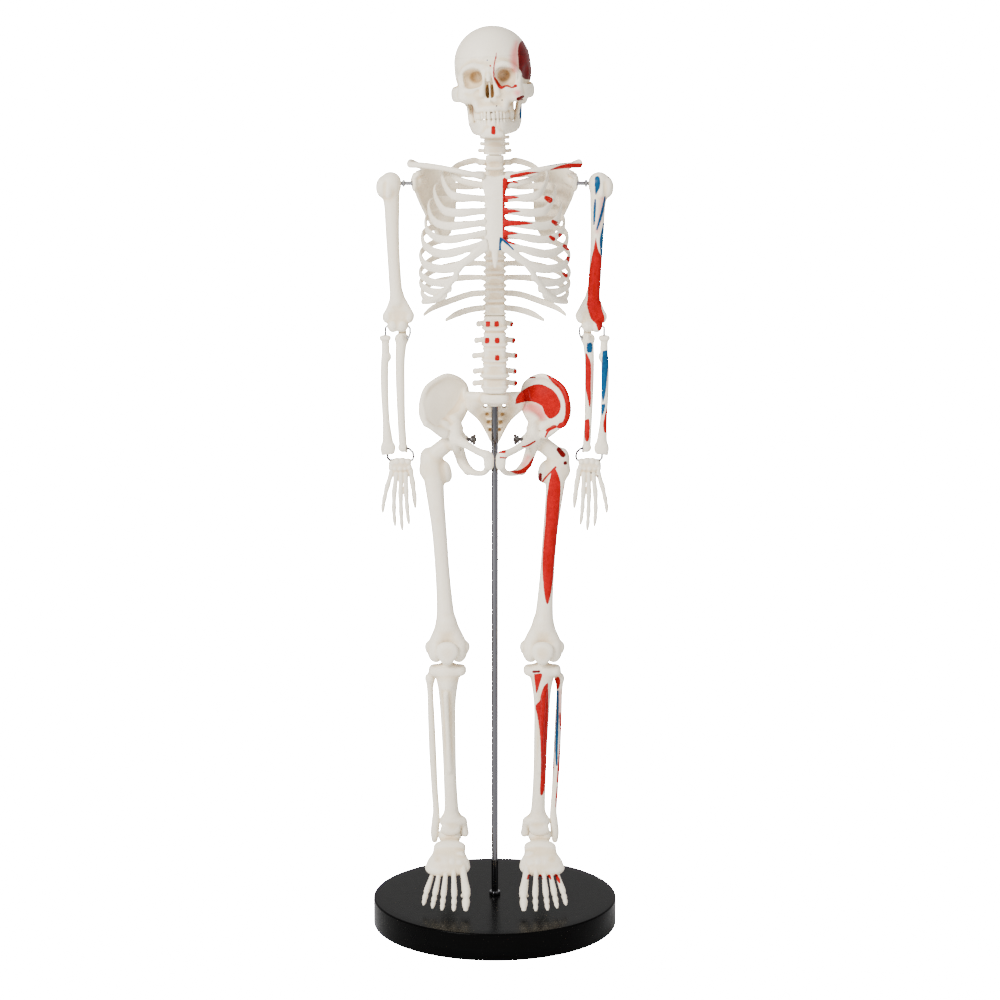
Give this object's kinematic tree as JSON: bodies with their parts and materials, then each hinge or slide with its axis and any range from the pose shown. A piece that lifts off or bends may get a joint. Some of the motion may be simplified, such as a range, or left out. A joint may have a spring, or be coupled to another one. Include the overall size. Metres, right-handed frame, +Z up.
{
  "type": "skeleton teaching model",
  "caption": "Half-size human skeleton teaching model, jointed at jaw, neck and limbs, with a lift-off skull cap, hung on a pelvic rod over a round black base.",
  "frame": {"origin": "centre of the underside of the round base", "axes": "+Z up along the support rod; the figure faces -Y, and its own left side is at +X"},
  "size_m": [0.232, 0.232, 0.8469],
  "materials": {
    "bone_plastic": "satin ivory",
    "chrome_steel": "polished",
    "dark_steel": "satin dark grey",
    "black_plastic": "gloss black"
  },
  "bodies": {
    "stand": {"base_disc": "black_plastic", "support_rod": "chrome_steel", "rod_collar": "chrome_steel", "rod_bolt": "chrome_steel"},
    "trunk": {"cervical_spine": "bone_plastic", "thoracic_spine": "bone_plastic", "lumbar_spine": "bone_plastic", "sacrum_and_coccyx": "bone_plastic", "sternum": "bone_plastic", "rib_cage_left": "bone_plastic", "floating_rib_11_left": "bone_plastic", "floating_rib_12_left": "bone_plastic", "clavicle_left": "bone_plastic", "scapula_left": "bone_plastic", "shoulder_pin_left": "dark_steel", "hip_bone_left": "bone_plastic", "hip_bolt_left": "dark_steel", "hip_wing_nut_left": "dark_steel", "rib_cage_right": "bone_plastic", "floating_rib_11_right": "bone_plastic", "floating_rib_12_right": "bone_plastic", "clavicle_right": "bone_plastic", "scapula_right": "bone_plastic", "shoulder_pin_right": "dark_steel", "hip_bone_right": "bone_plastic", "hip_bolt_right": "dark_steel", "hip_wing_nut_right": "dark_steel"},
    "head": {"skull_base": "bone_plastic"},
    "cap": {"skull_cap": "bone_plastic"},
    "jaw": {"mandible": "bone_plastic"},
    "upper_arm_left": {"humerus_left": "bone_plastic"},
    "forearm_left": {"radius_left": "bone_plastic", "ulna_left": "bone_plastic", "elbow_wire_left": "dark_steel", "wrist_wire_left": "dark_steel"},
    "hand_body_left": {"hand_left": "bone_plastic"},
    "thigh_left": {"femur_left": "bone_plastic", "patella_left": "bone_plastic", "knee_pin_left": "dark_steel"},
    "shank_left": {"tibia_left": "bone_plastic", "fibula_left": "bone_plastic", "ankle_pin_left": "dark_steel"},
    "foot_body_left": {"foot_left": "bone_plastic"},
    "upper_arm_right": {"humerus_right": "bone_plastic"},
    "forearm_right": {"radius_right": "bone_plastic", "ulna_right": "bone_plastic", "elbow_wire_right": "dark_steel", "wrist_wire_right": "dark_steel"},
    "hand_body_right": {"hand_right": "bone_plastic"},
    "thigh_right": {"femur_right": "bone_plastic", "patella_right": "bone_plastic", "knee_pin_right": "dark_steel"},
    "shank_right": {"tibia_right": "bone_plastic", "fibula_right": "bone_plastic", "ankle_pin_right": "dark_steel"},
    "foot_body_right": {"foot_right": "bone_plastic"}
  },
  "joints": [
    {"name": "trunk_turn", "type": "hinge", "parent": "stand", "child": "trunk", "pos_m": [0, 0, 0.51], "axis": [0, 0, 1], "continuous": true},
    {"name": "head_turn", "type": "hinge", "parent": "trunk", "child": "head", "pos_m": [0, 0.003, 0.777], "axis": [-0.0591, 0.0052, 0.9982], "range_deg": [-60, 60]},
    {"name": "cap_lift", "type": "slide", "parent": "head", "child": "cap", "axis": [-0.0591, 0.0052, 0.9982], "range_m": [0, 0.06]},
    {"name": "jaw_open", "type": "hinge", "parent": "head", "child": "jaw", "pos_m": [-0.00067, -0.00196, 0.78099], "axis": [0.9944, -0.087, 0.0593], "range_deg": [0, 20], "stiffness_Nm_per_rad": 0.03, "springref_deg": -17.19},
    {"name": "shoulder_left", "type": "hinge", "parent": "trunk", "child": "upper_arm_left", "pos_m": [0.097, 0.003, 0.704], "axis": [-1, 0, 0], "range_deg": [-40, 150]},
    {"name": "elbow_left", "type": "hinge", "parent": "upper_arm_left", "child": "forearm_left", "pos_m": [0.089, 0.004, 0.573], "axis": [-1, 0, 0], "range_deg": [0, 100]},
    {"name": "wrist_left", "type": "hinge", "parent": "forearm_left", "child": "hand_body_left", "pos_m": [0.088, -0.0055, 0.4485], "axis": [-1, 0, 0], "range_deg": [-45, 45]},
    {"name": "hip_left", "type": "hinge", "parent": "trunk", "child": "thigh_left", "pos_m": [0.037, 0, 0.467], "axis": [-1, 0, 0], "range_deg": [-10, 75]},
    {"name": "knee_left", "type": "hinge", "parent": "thigh_left", "child": "shank_left", "pos_m": [0.0445, -0.014, 0.268], "axis": [1, 0, 0], "range_deg": [0, 100]},
    {"name": "ankle_left", "type": "hinge", "parent": "shank_left", "child": "foot_body_left", "pos_m": [0.043, 0.006, 0.083], "axis": [-1, 0, 0], "range_deg": [0, 20]},
    {"name": "shoulder_right", "type": "hinge", "parent": "trunk", "child": "upper_arm_right", "pos_m": [-0.097, 0.003, 0.704], "axis": [-1, 0, 0], "range_deg": [-40, 150]},
    {"name": "elbow_right", "type": "hinge", "parent": "upper_arm_right", "child": "forearm_right", "pos_m": [-0.089, 0.004, 0.573], "axis": [-1, 0, 0], "range_deg": [0, 100]},
    {"name": "wrist_right", "type": "hinge", "parent": "forearm_right", "child": "hand_body_right", "pos_m": [-0.088, -0.0055, 0.4485], "axis": [-1, 0, 0], "range_deg": [-45, 45]},
    {"name": "hip_right", "type": "hinge", "parent": "trunk", "child": "thigh_right", "pos_m": [-0.037, 0, 0.467], "axis": [-1, 0, 0], "range_deg": [-10, 75]},
    {"name": "knee_right", "type": "hinge", "parent": "thigh_right", "child": "shank_right", "pos_m": [-0.0445, -0.014, 0.268], "axis": [1, 0, 0], "range_deg": [0, 100]},
    {"name": "ankle_right", "type": "hinge", "parent": "shank_right", "child": "foot_body_right", "pos_m": [-0.043, 0.006, 0.083], "axis": [-1, 0, 0], "range_deg": [0, 20]}
  ]
}
